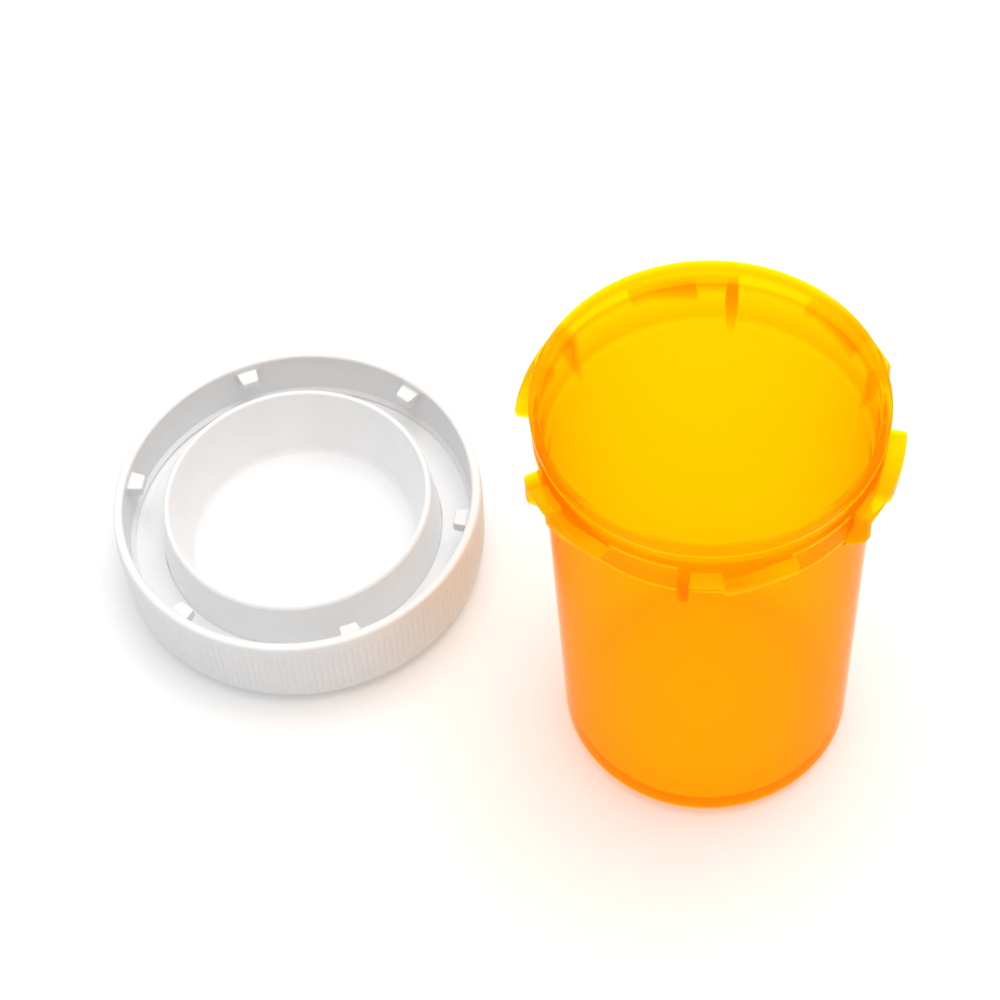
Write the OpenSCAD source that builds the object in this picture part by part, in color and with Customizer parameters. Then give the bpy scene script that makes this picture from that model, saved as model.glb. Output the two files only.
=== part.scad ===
// Prescription vial with a push-and-turn cap.
// The amber vial stands upright and open at the origin. The white cap lies beside it, open side up.
// Heights are measured from the table, and depths on the neck are measured down from the lip.

/* [Vial] */
// Overall height of the vial
vial_h = 62.5; // [55:0.5:75]
// Outer radius of the lip
lip_r = 20; // [18:0.25:22]
// Height of the lip band
lip_band_h = 1.9; // [1.5:0.1:2.5]
// Outer radius of the thicker collar under the lip
collar_r = 19.45; // [18:0.05:20]
// Depth of the collar's lower edge below the lip
collar_depth = 9.3; // [8:0.1:11]
// Outer radius of the body just below the collar
body_top_r = 18.85; // [17:0.05:20]
// Outer radius of the body just above the heel
body_base_r = 17.9; // [16:0.05:19]
// Wall thickness of the body
wall_t = 1.0; // [0.8:0.1:1.5]
// Inner radius of the mouth at the lip
mouth_r = 19.0; // [18:0.05:19.5]
// Thickness of the floor
floor_t = 1.3; // [1:0.1:2]
// Outer radius of the rounded heel
heel_r = 2.2; // [1:0.1:3]
// Height of the hollow under the floor
pushup_h = 0.7; // [0.3:0.1:1.5]
// Outer radius of the hollow under the floor
pushup_r = 13.2; // [10:0.2:15]

/* [Bayonet on the vial] */
// Number of bayonet units round the neck
unit_n = 6; // [4:1:8]
// Direction of the first stop rib, counter-clockwise from +X, in degrees
rib_angle = 15.3; // [0:0.1:60]
// Outer radius of the bayonet units
lug_r = 21.8; // [21:0.1:23]
// Depth of the units' upper face below the lip
lug_top = 4.1; // [2.5:0.1:4.5]
// Depth of the underside of the thin bar over the notch
bar_depth = 5.3; // [4.5:0.1:6]
// Depth of the locking block beside the notch
block_depth = 6.6; // [6:0.1:8]
// How far the block's underside rises away from the notch, for an easy start
ramp_rise = 1.8; // [0:0.1:2]
// Width of the stop rib, in degrees
rib_w = 3.4; // [3:0.1:6]
// Angle from the rib's centre to the start of the block, in degrees
block_start = 12; // [10:0.5:16]
// Angle from the rib's centre to the end of the block, in degrees
block_end = 34; // [30:0.5:40]
// Depth of the stop rib's outer face
rib_depth = 8.4; // [6:0.1:9]
// Depth at which the stop rib runs out into the wall
rib_tip_depth = 11.6; // [8:0.1:13]

/* [Cap shell] */
// Height of the cap
cap_h = 13.1; // [12:0.1:16]
// Outer radius of the cap at its open rim
cap_rim_r = 24.25; // [23:0.05:26]
// Outer radius of the cap at its closed end
cap_end_r = 23.95; // [23:0.05:26]
// Thickness of the skirt
skirt_t = 1.3; // [1:0.1:2]
// Thickness of the closed end
end_t = 1.2; // [1:0.1:2]
// Height of the bevel round the closed end
bevel_h = 1.9; // [1:0.1:3]
// Width of the bevel round the closed end
bevel_w = 1.7; // [1:0.1:3]
// Number of fine grip ribs round the skirt
grip_n = 174; // [90:6:240]
// How far each grip rib stands out
grip_h = 0.2; // [0.1:0.02:0.4]
// Width of each grip rib
grip_w = 0.4; // [0.2:0.05:0.8]
// Number of locking lugs inside the rim
cap_lug_n = 6; // [4:1:8]
// Direction of the first locking lug, counter-clockwise from +X, in degrees
cap_lug_angle = 45.8; // [0:0.1:60]
// Inner radius of the locking lugs
cap_lug_r = 21.0; // [20.5:0.1:22]
// Width of each locking lug, in degrees
cap_lug_w = 6.2; // [4:0.1:8]
// Height of each locking lug above the closed end
cap_lug_z = 10.4; // [9:0.1:11]
// Thickness of each locking lug
cap_lug_t = 1.5; // [1:0.1:2]

/* [Seal insert] */
// Outer radius of the insert's spring flange
flange_r = 22.7; // [21:0.05:23]
// Thickness of the spring flange
flange_t = 0.9; // [0.6:0.1:1.5]
// Height of the face that meets the vial's lip, above the closed end
seat_z = 5.3; // [4:0.1:7]
// Outer radius of the plug at the flange
plug_r = 18.55; // [17:0.05:19]
// Outer radius of the plug at its free edge
plug_tip_r = 17.7; // [17:0.05:19]
// Height of the plug's free edge above the closed end
plug_z = 12.7; // [10:0.1:13]
// Thickness of the plug's wall
plug_t = 0.8; // [0.5:0.1:1.2]
// Inner radius of the cup at its floor
cup_floor_r = 14.8; // [12:0.1:17]
// Thickness of the cup's floor
cup_floor_t = 0.8; // [0.5:0.1:1.2]

/* [Layout] */
// Distance of the cap's axis to the left of the vial's axis
cap_left = 50.5; // [46:0.5:80]
// Distance of the cap's axis behind the vial's axis
cap_back = 28.3; // [0:0.1:60]

/* [Hidden] */
$fn = 96;
pitch = 360 / unit_n;
lug_root_r = collar_r - 0.3;
edge = 0.35;
heel_steps = 4;
bead_r = 19.85;
bead_top = 3.7;
bead_bottom = 4.7;
collar_step = 0.35;
neck_in_r = body_top_r - wall_t;
base_in_r = body_base_r - wall_t;
floor_fillet = 1.6;
gate_r = 1.1;
gate_h = 0.25;
ring_mark_r = 6.2;
ring_mark_w = 0.5;
ring_mark_h = 0.25;
foot_r = body_base_r - heel_r;
ramp_start = block_start + 3;
ramp_set = 0.05;
wedge_depth = 4;
rib_proud = 0.08;
skirt_in_r = cap_rim_r - skirt_t;
snap_z = seat_z + 0.35;
snap_h = 0.7;
snap_in = 0.6;
cup_gap = 0.15;
run_gap = 0.08;
spring_travel = 2.3;
AMBER = [0.95, 0.55, 0.02, 0.6];
WHITE = [0.93, 0.93, 0.93];
MILK = [0.97, 0.97, 0.96];

// Points of a quarter round, from angle a0 to a1 about [r, z]
function round_pts(r, z, rad, a0, a1, n) =
    [for (i = [0:n]) [r + rad * cos(a0 + (a1 - a0) * i / n), z + rad * sin(a0 + (a1 - a0) * i / n)]];

// Ring sector of a 2D profile, from angle a0 to a1
module sector(a0, a1) {
    rotate([0, 0, a0])
        rotate_extrude(angle = a1 - a0)
            children();
}

// Half section of the vial's wall, floor, heel, collar and lip
module vial_section() {
    z_c = vial_h - collar_depth;
    polygon(concat(
        [[0, pushup_h + 0.2], [pushup_r - 2.4, pushup_h], [pushup_r, 0.12], [pushup_r + 0.6, 0]],
        round_pts(foot_r, heel_r, heel_r, -90, 0, heel_steps),
        [[body_top_r, z_c - collar_step], [collar_r, z_c]],
        [[collar_r, vial_h - bead_bottom - 0.3], [bead_r, vial_h - bead_bottom]],
        [[bead_r, vial_h - bead_top], [collar_r, vial_h - bead_top + 0.3]],
        [[collar_r, vial_h - lip_band_h - 0.2], [lip_r - 0.1, vial_h - lip_band_h]],
        round_pts(lip_r - edge, vial_h - edge, edge, 0, 90, 3),
        round_pts(mouth_r + edge, vial_h - edge, edge, 90, 180, 3),
        [[mouth_r - 0.15, vial_h - 2.2], [neck_in_r, z_c - 0.4]],
        round_pts(base_in_r - floor_fillet, pushup_h + floor_t + floor_fillet, floor_fillet, 0, -90, 4),
        [[ring_mark_r + ring_mark_w, pushup_h + floor_t + 0.1]],
        [[ring_mark_r + ring_mark_w * 0.7, pushup_h + floor_t + 0.1 + ring_mark_h]],
        [[ring_mark_r - ring_mark_w * 0.3, pushup_h + floor_t + 0.1 + ring_mark_h]],
        [[ring_mark_r - ring_mark_w * 0.6, pushup_h + floor_t + 0.1]],
        [[gate_r + 0.3, pushup_h + floor_t + 0.2], [gate_r, pushup_h + floor_t + gate_h + 0.2]],
        [[0, pushup_h + floor_t + gate_h + 0.2]]
    ));
}

// Section of the bayonet ring, from its upper face down to the locking block's underside
module bar_section() {
    polygon([
        [lug_root_r, vial_h - lug_top],
        [lug_r - edge, vial_h - lug_top],
        [lug_r, vial_h - lug_top - edge],
        [lug_r, vial_h - block_depth],
        [lug_root_r, vial_h - block_depth]
    ]);
}

// Section of the stop rib, with its long tapered lower end
module rib_section() {
    polygon([
        [lug_root_r - 0.1, vial_h - lug_top + rib_proud],
        [lug_r - edge, vial_h - lug_top + rib_proud],
        [lug_r + rib_proud, vial_h - lug_top - edge],
        [lug_r + rib_proud, vial_h - rib_depth + 0.5],
        [lug_r - 0.5, vial_h - rib_depth],
        [body_top_r - 0.3, vial_h - rib_tip_depth],
        [body_top_r - 0.3, vial_h - collar_depth - 0.6],
        [lug_root_r - 0.1, vial_h - collar_depth + 0.8]
    ]);
}

// Gap under the thin bar, where the cap's lug comes to rest
module notch_cut() {
    sector(-1, block_start)
        translate([lug_root_r - 1, vial_h - block_depth - 1])
            square([lug_r - lug_root_r + 2, block_depth - bar_depth + 1]);
}

// Wedge that makes the block's underside rise towards its far end
module ramp_cut() {
    ramp_run = lug_r * sin(block_end - ramp_start);
    rotate([0, 0, ramp_start])
        translate([lug_root_r - 1, 0, vial_h - block_depth - ramp_set])
            rotate([atan(ramp_rise / ramp_run), 0, 0])
                translate([0, 0, -wedge_depth])
                    cube([lug_r - lug_root_r + 3, ramp_run + wedge_depth, wedge_depth]);
}

// One bayonet unit: stop rib, thin bar over the notch, and locking block with its ramp
module bayonet_unit() {
    sector(-rib_w / 2, rib_w / 2)
        rib_section();
    difference() {
        sector(0, block_end)
            bar_section();
        notch_cut();
        ramp_cut();
    }
}

// Amber vial: tube, floor, collar, lip and six bayonet units in one moulding
module vial() {
    color(AMBER)
        union() {
            rotate_extrude()
                vial_section();
            for (k = [0:unit_n - 1])
                rotate([0, 0, rib_angle + k * pitch])
                    bayonet_unit();
        }
}

// Half section of the cap shell, closed end down
module shell_section() {
    polygon([
        [0, 0],
        [cap_end_r - bevel_w, 0],
        [cap_end_r, bevel_h],
        [cap_rim_r, cap_h - 0.9],
        [cap_rim_r, cap_h - 0.4],
        [cap_rim_r - 0.35, cap_h],
        [skirt_in_r + 0.3, cap_h],
        [skirt_in_r, cap_h - 0.35],
        [skirt_in_r, snap_z + snap_h],
        [skirt_in_r - snap_in, snap_z + snap_h / 2],
        [skirt_in_r - snap_in, snap_z + 0.1],
        [skirt_in_r, snap_z - 0.1],
        [skirt_in_r - 0.1, end_t + 1.2],
        [skirt_in_r - 1.2, end_t],
        [0, end_t]
    ]);
}

// White cap shell: closed end, ribbed skirt, locking lugs and the bead that keeps the insert in
module cap_shell() {
    color(WHITE)
        translate([-cap_left, cap_back, 0])
            union() {
                rotate_extrude()
                    shell_section();
                for (k = [0:cap_lug_n - 1])
                    sector(cap_lug_angle + k * 360 / cap_lug_n - cap_lug_w / 2,
                           cap_lug_angle + k * 360 / cap_lug_n + cap_lug_w / 2)
                        translate([cap_lug_r, cap_lug_z])
                            square([skirt_in_r + 0.3 - cap_lug_r, cap_lug_t]);
                for (k = [0:grip_n - 1])
                    rotate([0, 0, k * 360 / grip_n])
                        grip_rib();
            }
}

// One fine upright rib on the skirt, leaning with the skirt's slight taper
module grip_rib() {
    low_z = bevel_h + 0.4;
    high_z = cap_h - 1.1;
    lean = (cap_rim_r - cap_end_r) * (high_z - low_z) / (cap_h - 0.9 - bevel_h);
    rotate([90, 0, 0])
        translate([0, 0, -grip_w / 2])
            linear_extrude(height = grip_w)
                polygon([
                    [cap_end_r - 0.2, low_z],
                    [cap_end_r + grip_h, low_z + 0.4],
                    [cap_end_r + lean + grip_h, high_z - 0.4],
                    [cap_end_r + lean - 0.2, high_z]
                ]);
}

// Spring flange of the insert: the springy ring that the vial's lip presses
module seal_spring() {
    color(MILK)
        translate([-cap_left, cap_back, 0])
            rotate_extrude()
                polygon([
                    [plug_r + run_gap, seat_z - flange_t],
                    [flange_r - 0.5, seat_z - flange_t],
                    [flange_r, seat_z - flange_t + 0.3],
                    [flange_r, seat_z + 0.1],
                    [flange_r - 0.3, seat_z + 0.2],
                    [flange_r - 1.0, seat_z],
                    [plug_r + run_gap, seat_z]
                ]);
}

// Plug cup of the insert: the tapered cup that enters the vial's mouth, with its floor
module seal_cup() {
    low_z = end_t + cup_gap;
    guide_z = seat_z - flange_t - spring_travel - 0.1;
    color(MILK)
        translate([-cap_left, cap_back, 0])
            rotate_extrude()
                polygon([
                    [0, low_z],
                    [cup_floor_r + 0.7, low_z],
                    [cup_floor_r + 1.2, low_z + 0.5],
                    [cup_floor_r + 1.8, seat_z + 0.2],
                    [plug_r - plug_t, seat_z + 0.2],
                    [plug_r - plug_t, guide_z],
                    [plug_r, guide_z],
                    [plug_r, seat_z + 0.6],
                    [plug_tip_r, plug_z - 0.3],
                    [plug_tip_r - 0.2, plug_z],
                    [plug_tip_r - 0.45, plug_z],
                    [plug_tip_r - plug_t, plug_z - 0.5],
                    [cup_floor_r + 0.5, low_z + cup_floor_t + 0.5],
                    [cup_floor_r, low_z + cup_floor_t],
                    [0, low_z + cup_floor_t]
                ]);
}

vial();
cap_shell();
seal_cup();
seal_spring();
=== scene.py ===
import math

import bpy
import numpy as np
from mathutils import Matrix, Vector


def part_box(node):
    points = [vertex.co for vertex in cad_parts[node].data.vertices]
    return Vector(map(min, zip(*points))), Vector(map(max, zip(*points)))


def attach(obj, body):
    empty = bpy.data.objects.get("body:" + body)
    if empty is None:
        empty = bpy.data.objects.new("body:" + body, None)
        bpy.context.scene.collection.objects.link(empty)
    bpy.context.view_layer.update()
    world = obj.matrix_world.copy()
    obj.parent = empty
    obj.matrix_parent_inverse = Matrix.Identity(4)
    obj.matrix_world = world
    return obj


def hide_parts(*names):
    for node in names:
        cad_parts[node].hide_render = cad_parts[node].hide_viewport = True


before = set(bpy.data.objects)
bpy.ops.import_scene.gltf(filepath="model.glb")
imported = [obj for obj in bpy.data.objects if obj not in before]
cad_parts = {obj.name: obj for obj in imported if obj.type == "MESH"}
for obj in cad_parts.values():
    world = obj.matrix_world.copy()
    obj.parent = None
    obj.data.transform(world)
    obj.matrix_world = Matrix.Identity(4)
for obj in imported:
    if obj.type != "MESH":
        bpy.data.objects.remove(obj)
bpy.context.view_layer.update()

MM = 0.001

# ---------------------------------------------------------------- sizes, in millimetres and degrees
# Depths are measured down from the lip. Angles on a bayonet unit are measured from its stop rib.
SHELL_LOW, SHELL_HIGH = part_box("cap_shell")
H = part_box("vial")[1].z / MM
CAP_CENTRE = ((SHELL_LOW.x + SHELL_HIGH.x) / 2 / MM, (SHELL_LOW.y + SHELL_HIGH.y) / 2 / MM)

LIP_R = 20.0
MOUTH_R = 19.0
COLLAR_R = 19.45
COLLAR_DEPTH = 9.3
BODY_TOP_R = 18.85
BODY_BASE_R = 17.9
WALL = 1.0
HEEL_R = 2.2
LUG_R = 21.8
LUG_EDGE = 0.35
LIP_BAND = 1.95
BEAD_DEPTH = 4.2
BEAD_HALF = 0.34
BEAD_BLEND = 0.2
BEAD_PROUD = 0.4
UNITS = 6
UNIT_PITCH = 60.0
RIB_ANGLE = 15.3
RIB_HALF = 1.7
LUG_TOP = 4.1
BAR_DEPTH = 5.3
BLOCK_DEPTH = 6.6
BLOCK_START = 12.0
BLOCK_END = 34.0
RAMP_START = 15.0
RAMP_RISE = 1.8
RIB_DEPTH = 8.4
RIB_TIP = 11.6
RIB_NARROWS = 8.6
RIB_TIP_WIDTH = 0.38
NECK_TOP = 2.6
NECK_LOW = 12.4
FILLET = 0.16

CAP_H = 13.1
CAP_RIM_R = 24.25
CAP_END_R = 23.95
SKIRT_IN_R = 22.95
GRIPS = 174
GRIP_H = 0.2
CAP_LUG_ANGLE = 45.8
CAP_LUG_HALF = 3.1
CAP_LUG_R = 21.0
CAP_LUG_Z = 10.4
CAP_LUG_T = 1.5
CAP_LUG_EDGE = 0.3
CAP_LUG_FILLET = 0.14
GRIP_COLUMNS = 6
CUP_COLUMNS = 288

# Drop of a moulded face per millimetre outside its outline, steep enough to read as a side wall
SIDE_STEEPNESS = 14.0
# Distances from an outline at which rows and columns are packed, so that its rounded edge is smooth
STEPS = np.array([-0.35, -0.27, -0.18, -0.1, -0.04, -0.01, 0.01, 0.05, 0.09, 0.13, 0.18, 0.25, 0.45])
# Closest spacing of rows, in millimetres, and of columns, in degrees
ROW_GAP = 0.035
COLUMN_GAP = 0.05

# ---------------------------------------------------------------- light, floor and camera
FLOOR_HALF = 4.0
FLOOR_DROP = 0.00002
FLOOR_GLOW = 0.13
SKY_HORIZON = 0.28
SKY_ZENITH = 1.15
ZENITH_FROM = 0.9
KEY_PLACE = (0.14, 0.13, 0.9)
KEY_TARGET = (-0.02, 0.0, 0.02)
KEY_SIZE = 0.8
KEY_POWER = 4.9
CAMERA_PLACE = (-0.02397, -0.1746, 0.2923)
CAMERA_PITCH = 54.55
CAMERA_ROLL = 5.44
CAMERA_LENS = 94.68
CAMERA_SENSOR = 36.0
CAMERA_CLIP = (0.01, 20.0)


# ---------------------------------------------------------------- profile and mesh tools
def rounded(points, seg, longest, support=0.12):
    """Profile from (r, z, corner radius) points, with corners turned into arcs and long runs divided."""
    pts = [np.array(p[:2], float) for p in points]
    radii = [p[2] for p in points]
    out = [pts[0]]
    for k in range(1, len(pts) - 1):
        a, p, b = pts[k - 1], pts[k], pts[k + 1]
        d1, d2 = (p - a), (b - p)
        l1, l2 = np.linalg.norm(d1), np.linalg.norm(d2)
        d1, d2 = d1 / l1, d2 / l2
        cross = d1[0] * d2[1] - d1[1] * d2[0]
        turn = math.atan2(abs(cross), float(d1 @ d2))
        if radii[k] <= 0 or turn < 0.02:
            out.append(p)
            continue
        reach = min(radii[k] * math.tan(turn / 2), 0.46 * l1, 0.46 * l2)
        rad = reach / math.tan(turn / 2)
        side = 1.0 if cross > 0 else -1.0
        perp = np.array([-d1[1], d1[0]]) * side
        centre = p - d1 * reach + perp * rad
        for i in range(seg + 1):
            w = side * turn * i / seg
            c, s = math.cos(w), math.sin(w)
            v = -perp
            out.append(centre + rad * np.array([v[0] * c - v[1] * s, v[0] * s + v[1] * c]))
    out.append(pts[-1])
    full = [out[0]]
    for a, b in zip(out, out[1:]):
        length = np.linalg.norm(b - a)
        if length < 1e-6:
            continue
        cuts = []
        if length > 4 * support:
            inner = length - 2 * support
            n = max(1, int(math.ceil(inner / longest)))
            cuts = [support + inner * i / n for i in range(n + 1)]
        full += [a + (b - a) * c / length for c in cuts]
        full.append(b)
    return np.array(full)


def grid_mesh(name, theta, r, z, centre=(0.0, 0.0)):
    """Closed surface from rings of points. The first and last rings are single points, theta in degrees."""
    rows, cols = r.shape
    t = np.radians(np.broadcast_to(theta, r.shape))
    x = centre[0] + r * np.cos(t)
    y = centre[1] + r * np.sin(t)
    ring = np.stack([x, y, z], -1)[1:-1].reshape(-1, 3)
    first = [centre[0], centre[1], z[0, 0]]
    last = [centre[0], centre[1], z[-1, 0]]
    verts = np.vstack([ring, [first, last]]) * MM
    first_index = (rows - 2) * cols
    j, i = np.meshgrid(np.arange(rows - 3), np.arange(cols), indexing="ij")
    i2 = (i + 1) % cols
    corners = [j * cols + i, j * cols + i2, (j + 1) * cols + i2, (j + 1) * cols + i]
    quads = np.stack(corners, -1).reshape(-1, 4)
    k = np.arange(cols)
    k2 = (k + 1) % cols
    base = (rows - 3) * cols
    caps = np.vstack([
        np.stack([np.full(cols, first_index), k2, k], -1),
        np.stack([np.full(cols, first_index + 1), base + k, base + k2], -1),
    ])
    mesh = bpy.data.meshes.new(name)
    mesh.from_pydata(verts.tolist(), [], quads.tolist() + caps.tolist())
    volume = 0.0
    for tri in (quads[:, [0, 1, 2]], quads[:, [0, 2, 3]], caps):
        a, b, c = (verts[tri[:, n]] for n in range(3))
        volume += float(np.einsum("ij,ij->i", a, np.cross(b, c)).sum())
    if volume < 0:
        mesh.flip_normals()
    return smooth_object(name, mesh)


def smooth_object(name, mesh):
    mesh.polygons.foreach_set("use_smooth", [True] * len(mesh.polygons))
    mesh.update()
    obj = bpy.data.objects.new(name, mesh)
    bpy.context.scene.collection.objects.link(obj)
    return obj


def drop(s, edge):
    """How far a moulded face has fallen from its full height, at a distance s outside its outline."""
    inside = np.clip(s + edge, 0, edge)
    rounded_part = edge - np.sqrt(np.maximum(edge * edge - inside * inside, 0))
    return rounded_part + np.maximum(s, 0) * SIDE_STEEPNESS


def outside(*edges):
    """Distance outside an outline, from the distances past each of its edges."""
    return np.maximum.reduce(np.broadcast_arrays(*edges))


def soft_max(a, b, k):
    """The larger of a and b, with a fillet of about k where they cross."""
    h = np.clip(k - np.abs(a - b), 0, k)
    return np.maximum(a, b) + h * h / (4 * k)


def spaced(values, gap):
    """Sorted values with those closer than gap to the last kept one left out."""
    out = []
    for v in sorted(values):
        if not out or v - out[-1] >= gap:
            out.append(v)
    return np.array(out)


def plain_rings(points, cols):
    """Radii and heights of round rings, one for each (r, z) point."""
    return np.repeat([[p[0]] for p in points], cols, 1), np.repeat([[p[1]] for p in points], cols, 1)


# ---------------------------------------------------------------- amber vial
def build_vial():
    """Amber vial: a rounded profile turned into rings, with the bayonet units raised on the neck."""
    floor_z = 2.0
    step_z = H - COLLAR_DEPTH
    profile = rounded([
        (0, 2.45, 0), (1.05, 2.43, 0.12), (1.4, 2.12, 0.12), (5.85, 2.1, 0.15), (6.02, 2.34, 0.08),
        (6.5, 2.34, 0.08), (6.7, 2.08, 0.15), (12.4, 2.06, 0.2), (12.7, 2.0, 0.2),
        (BODY_BASE_R - WALL, floor_z, 1.7), (BODY_TOP_R - WALL, step_z - 0.4, 1.2),
        (MOUTH_R - 0.15, H - 2.2, 0.8), (MOUTH_R, H, 0.38), (LIP_R, H, 0.38),
        (LIP_R - 0.1, H - LIP_BAND, 0.25), (COLLAR_R, H - 2.15, 0.3),
        (COLLAR_R, H - 4.75, 0.1), (COLLAR_R, step_z, 0.2), (BODY_TOP_R, step_z - 0.4, 0.35),
        (BODY_BASE_R, 2.2, 2.0), (BODY_BASE_R - 0.62, 0.6, 1.6), (BODY_BASE_R - HEEL_R, 0, 0.6),
        (13.8, 0, 0.3), (12.6, 0.55, 0.8), (10.8, 0.7, 0.8), (0, 0.9, 0),
    ], seg=6, longest=2.0)
    top = int(np.argmax(profile[:, 1] + profile[:, 0] * 1e-3))
    outer = profile[top:]
    wall = outer[: int(np.argmax(outer[:, 1] < 4.0))]
    before = list(profile[:top]) + [p for p in wall if H - p[1] < NECK_TOP - 0.05]
    after = [p for p in wall if H - p[1] > NECK_LOW + 0.05] + list(outer[len(wall):])

    depths = spaced(
        [NECK_TOP, 2.72]
        + list(LUG_TOP - STEPS) + [3.2, 3.5, 3.6, 4.58, 4.68, 4.78, 4.86]
        + list(BAR_DEPTH + STEPS) + [6.1] + list(BLOCK_DEPTH + STEPS)
        + [7.2, 7.5, 7.8, 8.1, 8.4, 8.8, 9.1]
        + [9.22, 9.3, 9.36, 9.44, 9.52, 9.6, 9.68, 9.78, 9.95, 10.15,
           10.4, 10.7, 11.0, 11.2, 11.35, 11.5, 11.62, 11.75, 11.95, NECK_LOW],
        ROW_GAP,
    )
    per_mm = math.degrees(1 / LUG_R)
    columns = spaced(
        list(RIB_HALF + STEPS * per_mm) + list(UNIT_PITCH - RIB_HALF - STEPS * per_mm)
        + list(BLOCK_START - STEPS * per_mm) + list(BLOCK_END + STEPS * per_mm)
        + [0.0, 0.6, 59.4, 5.0, 6.5, 8.0, 9.3] + list(np.arange(14.0, 33.0, 1.25))
        + list(np.arange(36.4, 56.8, 1.25)),
        COLUMN_GAP,
    )
    theta = np.concatenate([columns + k * UNIT_PITCH for k in range(UNITS)])
    x = np.concatenate([columns] * UNITS)
    rib_x = np.where(x > 50, x - UNIT_PITCH, x)

    # The block's underside rises away from the notch, and the rows follow it
    ramp = np.clip((x - RAMP_START) / (BLOCK_END - RAMP_START), 0, 1) * RAMP_RISE
    fade = np.clip((x - BLOCK_END - 1.3) / 14.0, 0, 1)
    ramp = ramp * (1 - fade * fade * (3 - 2 * fade))
    weight = np.interp(depths, [4.3, 6.25, 7.05, 9.0], [0, 1, 1, 0])
    d = depths[:, None] - weight[:, None] * ramp[None, :]

    base = np.interp(d, H - wall[:, 1], wall[:, 0])
    bead_blend = np.maximum(np.abs(d - BEAD_DEPTH) - BEAD_HALF, 0) / BEAD_BLEND
    bead = BEAD_PROUD * np.clip(1 - bead_blend, 0, 1)
    base = base + bead * bead * (3 * BEAD_PROUD - 2 * bead) / BEAD_PROUD ** 2

    # Distances outside the outlines of the bar and the block, in millimetres along the wall
    mm_x = x[None, :] / per_mm
    low_edge = BLOCK_DEPTH - ramp[None, :]
    past_end = mm_x - BLOCK_END / per_mm
    bar = outside(-mm_x, past_end, LUG_TOP - d, d - BAR_DEPTH)
    block = outside(BLOCK_START / per_mm - mm_x, past_end, LUG_TOP - d, d - low_edge)
    unit = LUG_R - drop(np.minimum(bar, block), LUG_EDGE)

    # The stop rib narrows towards its lower end, so its columns are drawn together there
    narrow = np.clip((d - RIB_NARROWS) / (RIB_TIP - RIB_NARROWS), 0, 1.1)
    squeeze = 1 - (1 - RIB_TIP_WIDTH) * narrow * narrow
    near = np.clip((5.2 - np.abs(rib_x[None, :])) / 2.4, 0, 1)
    shift = rib_x[None, :] * (squeeze - 1) * near
    rib_r = np.interp(d, [0, RIB_DEPTH - 0.5, RIB_DEPTH, RIB_TIP, RIB_TIP + 0.6],
                      [LUG_R, LUG_R, LUG_R - 0.5, BODY_TOP_R - 0.1, BODY_TOP_R - 1.0])
    rib_s = outside((np.abs(rib_x[None, :]) - RIB_HALF) / per_mm, LUG_TOP - d)
    rib = rib_r - drop(rib_s, LUG_EDGE)

    neck_r = soft_max(soft_max(base, unit, FILLET), rib, FILLET)
    neck_z = H - d
    cols = len(theta)
    r0, z0 = plain_rings(before, cols)
    r1, z1 = plain_rings(after, cols)
    r = np.vstack([r0, neck_r, r1])
    z = np.vstack([z0, neck_z, z1])
    turn = np.vstack([np.zeros_like(r0), shift, np.zeros_like(r1)])
    return grid_mesh("amber_vial", theta[None, :] + turn + RIB_ANGLE, r, z)


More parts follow.
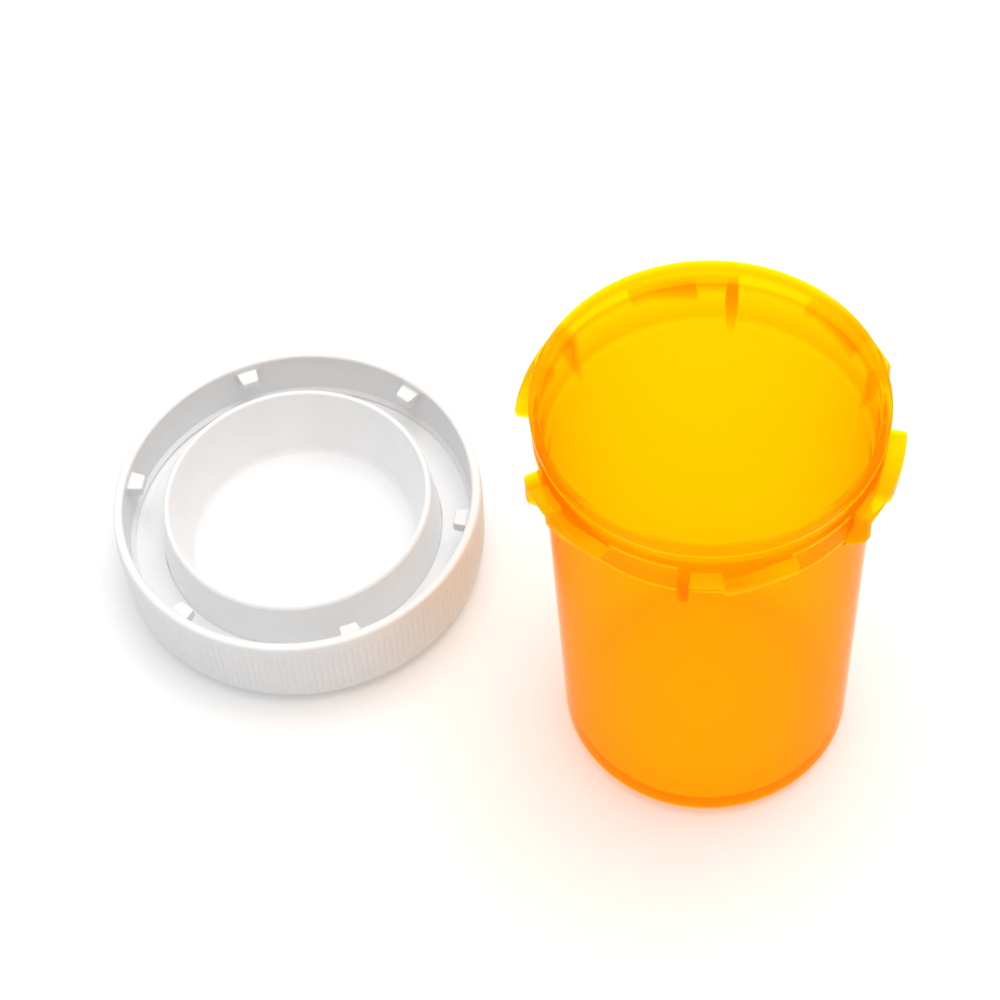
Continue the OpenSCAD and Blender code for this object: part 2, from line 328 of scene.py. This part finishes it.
# ---------------------------------------------------------------- white cap shell
def build_shell():
    """White cap shell, closed end down, with grip ribs outside and locking lugs inside."""
    outer = rounded([
        (0, 0.12, 0), (0.9, 0.12, 0.1), (1.2, 0, 0.1), (18.6, 0, 0.08), (18.85, 0.1, 0.08),
        (19.1, 0.1, 0.08), (19.35, 0, 0.08), (CAP_END_R - 1.7, 0, 0.7), (CAP_END_R, 1.9, 0.6),
        (CAP_END_R + 0.01, 2.15, 0.1), (CAP_RIM_R, CAP_H - 0.95, 0.4), (CAP_RIM_R, CAP_H, 0.5),
        (SKIRT_IN_R + 0.05, CAP_H, 0.42), (SKIRT_IN_R, CAP_H - 1.0, 0.2),
    ], seg=6, longest=1.4)
    rows_lug = CAP_LUG_Z + CAP_LUG_T + STEPS[::-1] * 0.9
    rows_low = CAP_LUG_Z - STEPS * 0.9
    lug_z = np.array(sorted(set(list(rows_lug) + list(rows_low) + [11.15, 9.8]), reverse=True))
    inner = rounded([
        (SKIRT_IN_R, 9.5, 0), (SKIRT_IN_R, 6.4, 0.15), (SKIRT_IN_R - 0.6, 6.05, 0.15),
        (SKIRT_IN_R - 0.6, 5.72, 0.12), (SKIRT_IN_R, 5.5, 0.15), (SKIRT_IN_R - 0.1, 2.4, 0.4),
        (SKIRT_IN_R - 1.2, 1.2, 0.6), (0, 1.2, 0),
    ], seg=4, longest=3.0)
    cols = GRIPS * GRIP_COLUMNS
    theta = np.arange(cols) * 360.0 / cols
    rows = [(p[0], p[1]) for p in outer] + [(SKIRT_IN_R, z) for z in lug_z if z < outer[-1][1] - 0.03]
    rows += [(p[0], p[1]) for p in inner if p[1] < rows[-1][1] - 0.03 or p[0] < 1]
    r, z = plain_rings(rows, cols)

    phase = theta * GRIPS / 360.0
    ridge = (0.5 + 0.5 * np.cos(2 * np.pi * phase)) ** 0.8
    fade = np.interp(z[:, 0], [2.35, 2.85, CAP_H - 1.5, CAP_H - 1.0], [0, 1, 1, 0])
    on_skirt = (r[:, 0] > CAP_END_R - 0.05) & (np.arange(len(rows)) < len(outer))
    r = r + (fade * on_skirt)[:, None] * ridge[None, :] * GRIP_H

    lug_x = (theta - CAP_LUG_ANGLE + UNIT_PITCH / 2) % UNIT_PITCH - UNIT_PITCH / 2
    per_mm = math.degrees(1 / SKIRT_IN_R)
    beside = (np.abs(lug_x)[None, :] - CAP_LUG_HALF) / per_mm
    s = outside(beside, z - CAP_LUG_Z - CAP_LUG_T, CAP_LUG_Z - z)
    lug = CAP_LUG_R + drop(s, CAP_LUG_EDGE)
    in_rim = (~on_skirt) & (np.arange(len(rows)) > len(outer) - 12) & (z[:, 0] > 9.0)
    smooth = -soft_max(-r, -lug, CAP_LUG_FILLET)
    r = np.where(in_rim[:, None], smooth, r)
    return grid_mesh("cap_shell_moulding", theta, r, z, CAP_CENTRE)


# ---------------------------------------------------------------- milky seal insert
def build_cup():
    """Plug cup of the insert, from its underside round the rim to the inside of its floor."""
    profile = rounded([
        (0, 1.35, 0), (15.5, 1.35, 0.3), (16.0, 1.85, 0.3), (16.6, 5.5, 0.3), (17.75, 5.5, 0.1),
        (17.75, 2.0, 0.08), (18.55, 2.0, 0.1), (18.55, 5.9, 1.2), (17.72, 12.3, 0.5), (17.4, 12.7, 0.25),
        (16.95, 12.6, 0.25), (15.25, 2.75, 1.4), (14.7, 2.15, 0.5), (1.5, 2.15, 0.2), (1.1, 2.3, 0.15),
        (0, 2.3, 0),
    ], seg=5, longest=1.5)
    theta = np.arange(CUP_COLUMNS) * 360.0 / CUP_COLUMNS
    r, z = plain_rings(profile, CUP_COLUMNS)
    return grid_mesh("seal_plug_cup", theta, r, z, CAP_CENTRE)


def build_spring():
    """Flange of the insert, as a closed ring."""
    profile = rounded([
        (18.63, 4.75, 0), (18.63, 4.4, 0.08), (22.2, 4.4, 0.15), (22.7, 4.7, 0.15), (22.7, 5.42, 0.1),
        (22.4, 5.5, 0.12), (21.7, 5.3, 0.3), (18.63, 5.3, 0.08), (18.63, 4.95, 0),
    ], seg=4, longest=0.9)
    cols = CUP_COLUMNS
    theta = np.radians(np.arange(cols) * 360.0 / cols)
    rows = len(profile)
    x = CAP_CENTRE[0] + profile[:, :1] * np.cos(theta)
    y = CAP_CENTRE[1] + profile[:, :1] * np.sin(theta)
    z = np.repeat(profile[:, 1:], cols, 1)
    verts = np.stack([x, y, z], -1).reshape(-1, 3) * MM
    j, i = np.meshgrid(np.arange(rows), np.arange(cols), indexing="ij")
    j2, i2 = (j + 1) % rows, (i + 1) % cols
    corners = [j * cols + i, j * cols + i2, j2 * cols + i2, j2 * cols + i]
    quads = np.stack(corners, -1).reshape(-1, 4)
    mesh = bpy.data.meshes.new("seal_spring_flange")
    mesh.from_pydata(verts.tolist(), [], quads.tolist())
    return smooth_object("seal_spring_flange", mesh)


# ---------------------------------------------------------------- materials
def new_material(name):
    mat = bpy.data.materials.new(name)
    mat.use_nodes = True
    tree = mat.node_tree
    tree.nodes.clear()
    out = tree.nodes.new("ShaderNodeOutputMaterial")
    bsdf = tree.nodes.new("ShaderNodeBsdfPrincipled")
    tree.links.new(bsdf.outputs["BSDF"], out.inputs["Surface"])
    return mat, tree, bsdf, out


def noise(tree, coord, scale, detail, rough, stretch=None):
    """Noise factor, in the object's own coordinates in metres."""
    node = tree.nodes.new("ShaderNodeTexNoise")
    node.inputs["Scale"].default_value = scale
    node.inputs["Detail"].default_value = detail
    node.inputs["Roughness"].default_value = rough
    if stretch:
        mapping = tree.nodes.new("ShaderNodeMapping")
        mapping.inputs["Scale"].default_value = stretch
        tree.links.new(coord, mapping.inputs["Vector"])
        coord = mapping.outputs["Vector"]
    tree.links.new(coord, node.inputs["Vector"])
    return node.outputs["Fac"]


def remap(tree, value, low, high, out_low, out_high):
    node = tree.nodes.new("ShaderNodeMapRange")
    node.inputs["From Min"].default_value = low
    node.inputs["From Max"].default_value = high
    node.inputs["To Min"].default_value = out_low
    node.inputs["To Max"].default_value = out_high
    tree.links.new(value, node.inputs["Value"])
    return node.outputs["Result"]


def maths(tree, kind, a, b):
    """Math node on two values, each a number or a socket."""
    node = tree.nodes.new("ShaderNodeMath")
    node.operation = kind
    for socket, value in zip(node.inputs, (a, b)):
        if isinstance(value, (int, float)):
            socket.default_value = value
        else:
            tree.links.new(value, socket)
    return node.outputs["Value"]


def bump(tree, bsdf, height, distance, strength):
    node = tree.nodes.new("ShaderNodeBump")
    node.inputs["Strength"].default_value = strength
    node.inputs["Distance"].default_value = distance
    tree.links.new(height, node.inputs["Height"])
    tree.links.new(node.outputs["Normal"], bsdf.inputs["Normal"])


def coords(tree):
    return tree.nodes.new("ShaderNodeTexCoord").outputs["Object"]


def clouded_colour(tree, bsdf, cloud, dark, light):
    """Base colour that drifts between two close shades with a soft noise."""
    mix = tree.nodes.new("ShaderNodeMix")
    mix.data_type = "RGBA"
    mix.inputs["A"].default_value = dark
    mix.inputs["B"].default_value = light
    tree.links.new(remap(tree, cloud, 0.35, 0.65, 0, 1), mix.inputs["Factor"])
    tree.links.new(mix.outputs["Result"], bsdf.inputs["Base Color"])


def soft_inside(bsdf, weight, radius, scale):
    """Light scattered inside the plastic."""
    bsdf.inputs["Subsurface Weight"].default_value = weight
    bsdf.inputs["Subsurface Radius"].default_value = radius
    bsdf.inputs["Subsurface Scale"].default_value = scale


def glow(bsdf, colour, strength):
    bsdf.inputs["Emission Color"].default_value = colour
    bsdf.inputs["Emission Strength"].default_value = strength


def amber_material():
    """Clear amber plastic. The volume makes thick places more orange than thin walls."""
    mat, tree, bsdf, out = new_material("amber_polypropylene")
    place = coords(tree)
    bsdf.inputs["Base Color"].default_value = (1.0, 0.9, 0.004, 1)
    bsdf.inputs["IOR"].default_value = 1.045
    bsdf.inputs["Transmission Weight"].default_value = 0.86
    bsdf.inputs["Specular Tint"].default_value = (1.0, 0.55, 0.05, 1)
    # Painted light: the amber gives off a faint orange glow of its own, brightening it beyond what the
    # lamps give.
    glow(bsdf, (1.0, 0.95, 0.0, 1), 0.095)
    cloud = noise(tree, place, 160.0, 3.0, 0.55)
    fine = noise(tree, place, 1400.0, 2.0, 0.5)
    grain = maths(tree, "ADD", maths(tree, "MULTIPLY", cloud, 0.7), maths(tree, "MULTIPLY", fine, 0.3))
    tree.links.new(remap(tree, grain, 0.3, 0.7, 0.06, 0.1), bsdf.inputs["Roughness"])
    wave = noise(tree, place, 120.0, 1.0, 0.4, (1.0, 1.0, 0.25))
    bump(tree, bsdf, wave, 0.00006, 1.0)
    absorb = tree.nodes.new("ShaderNodeVolumeAbsorption")
    absorb.inputs["Color"].default_value = (0.9995, 0.70, 0.0, 1)
    absorb.inputs["Density"].default_value = 1350.0
    tree.links.new(absorb.outputs["Volume"], out.inputs["Volume"])
    return mat


def white_material():
    """White satin plastic of the cap shell."""
    mat, tree, bsdf, _ = new_material("white_polypropylene")
    place = coords(tree)
    soft = noise(tree, place, 90.0, 2.0, 0.5)
    fine = noise(tree, place, 2600.0, 3.0, 0.6)
    clouded_colour(tree, bsdf, soft, (0.715, 0.715, 0.72, 1), (0.74, 0.74, 0.743, 1))
    bsdf.inputs["IOR"].default_value = 1.49
    soft_inside(bsdf, 0.2, (1.0, 0.97, 0.94), 0.001)
    tree.links.new(remap(tree, fine, 0.3, 0.7, 0.34, 0.46), bsdf.inputs["Roughness"])
    grain = maths(tree, "ADD", fine, maths(tree, "MULTIPLY", soft, 1.5))
    bump(tree, bsdf, grain, 0.000012, 0.6)
    return mat


def seal_material():
    """Milky soft plastic of the insert, with a painted glow of its own that lifts the shade in the cap's
    grooves and recesses.
    """
    mat, tree, bsdf, _ = new_material("milky_polyethylene")
    place = coords(tree)
    soft = noise(tree, place, 140.0, 3.0, 0.55)
    fine = noise(tree, place, 1800.0, 2.0, 0.5)
    clouded_colour(tree, bsdf, soft, (0.59, 0.59, 0.595, 1), (0.62, 0.62, 0.623, 1))
    bsdf.inputs["IOR"].default_value = 1.5
    # Painted light: the insert glows faintly white, brightening the shade inside the cap.
    glow(bsdf, (1, 1, 1, 1), 0.2)
    soft_inside(bsdf, 0.2, (1.0, 0.98, 0.96), 0.001)
    tree.links.new(remap(tree, fine, 0.3, 0.7, 0.36, 0.5), bsdf.inputs["Roughness"])
    bump(tree, bsdf, maths(tree, "ADD", fine, soft), 0.00001, 0.6)
    return mat


def floor_material():
    """Pale matt floor, with enough glow to keep the background white."""
    mat, _, bsdf, _ = new_material("pale_floor")
    bsdf.inputs["Base Color"].default_value = (0.76, 0.76, 0.76, 1)
    bsdf.inputs["Roughness"].default_value = 0.9
    bsdf.inputs["Specular IOR Level"].default_value = 0.0
    glow(bsdf, (1, 1, 1, 1), FLOOR_GLOW)
    return mat


def dress(obj, mat, body, node):
    """Gives a piece its material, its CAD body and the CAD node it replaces."""
    obj.data.materials.append(mat)
    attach(obj, body)
    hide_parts(node)


AMBER = amber_material()
WHITE = white_material()
SEAL = seal_material()

dress(build_vial(), AMBER, "vial", "vial")
dress(build_shell(), WHITE, "cap", "cap_shell")
dress(build_cup(), SEAL, "cap_plug", "seal_cup")
dress(build_spring(), SEAL, "cap_spring", "seal_spring")


# ---------------------------------------------------------------- floor, light and camera
def build_floor():
    half = FLOOR_HALF
    corners = [(-half, -half, 0), (half, -half, 0), (half, half, 0), (-half, half, 0)]
    mesh = bpy.data.meshes.new("floor")
    mesh.from_pydata(corners, [], [(0, 1, 2, 3)])
    obj = bpy.data.objects.new("floor", mesh)
    obj.location.z = -FLOOR_DROP
    bpy.context.scene.collection.objects.link(obj)
    mesh.materials.append(floor_material())


def area_light(name, place, target, size, power):
    data = bpy.data.lights.new(name, "AREA")
    data.shape = "DISK"
    data.size = size
    data.energy = power
    obj = bpy.data.objects.new(name, data)
    obj.location = place
    obj.rotation_mode = "QUATERNION"
    obj.rotation_quaternion = (Vector(target) - Vector(place)).to_track_quat("-Z", "Y")
    bpy.context.scene.collection.objects.link(obj)


def build_world():
    """Plain white studio light, brighter overhead than at the horizon."""
    world = bpy.data.worlds.new("studio")
    world.use_nodes = True
    tree = world.node_tree
    background = tree.nodes["Background"]
    background.inputs["Color"].default_value = (1, 1, 1, 1)
    split = tree.nodes.new("ShaderNodeSeparateXYZ")
    tree.links.new(tree.nodes.new("ShaderNodeTexCoord").outputs["Generated"], split.inputs["Vector"])
    strength = remap(tree, split.outputs["Z"], 0.0, ZENITH_FROM, SKY_HORIZON, SKY_ZENITH)
    tree.links.new(strength, background.inputs["Strength"])
    bpy.context.scene.world = world


def build_camera():
    """Camera looking down along +Y, rolled clockwise."""
    pitch, roll = math.radians(CAMERA_PITCH), math.radians(CAMERA_ROLL)
    ahead = Vector((0, math.cos(pitch), -math.sin(pitch)))
    up = Vector((0, math.sin(pitch), math.cos(pitch)))
    right = Vector((1, 0, 0))
    right_rolled = right * math.cos(roll) - up * math.sin(roll)
    up_rolled = up * math.cos(roll) + right * math.sin(roll)
    data = bpy.data.cameras.new("camera")
    data.sensor_width = CAMERA_SENSOR
    data.lens = CAMERA_LENS
    data.clip_start, data.clip_end = CAMERA_CLIP
    obj = bpy.data.objects.new("camera", data)
    rotation = Matrix((right_rolled, up_rolled, -ahead)).transposed()
    obj.matrix_world = Matrix.Translation(Vector(CAMERA_PLACE)) @ rotation.to_4x4()
    bpy.context.scene.collection.objects.link(obj)
    bpy.context.scene.camera = obj


build_floor()
build_world()
area_light("key", KEY_PLACE, KEY_TARGET, KEY_SIZE, KEY_POWER)
build_camera()
bpy.context.scene.view_settings.view_transform = "Standard"
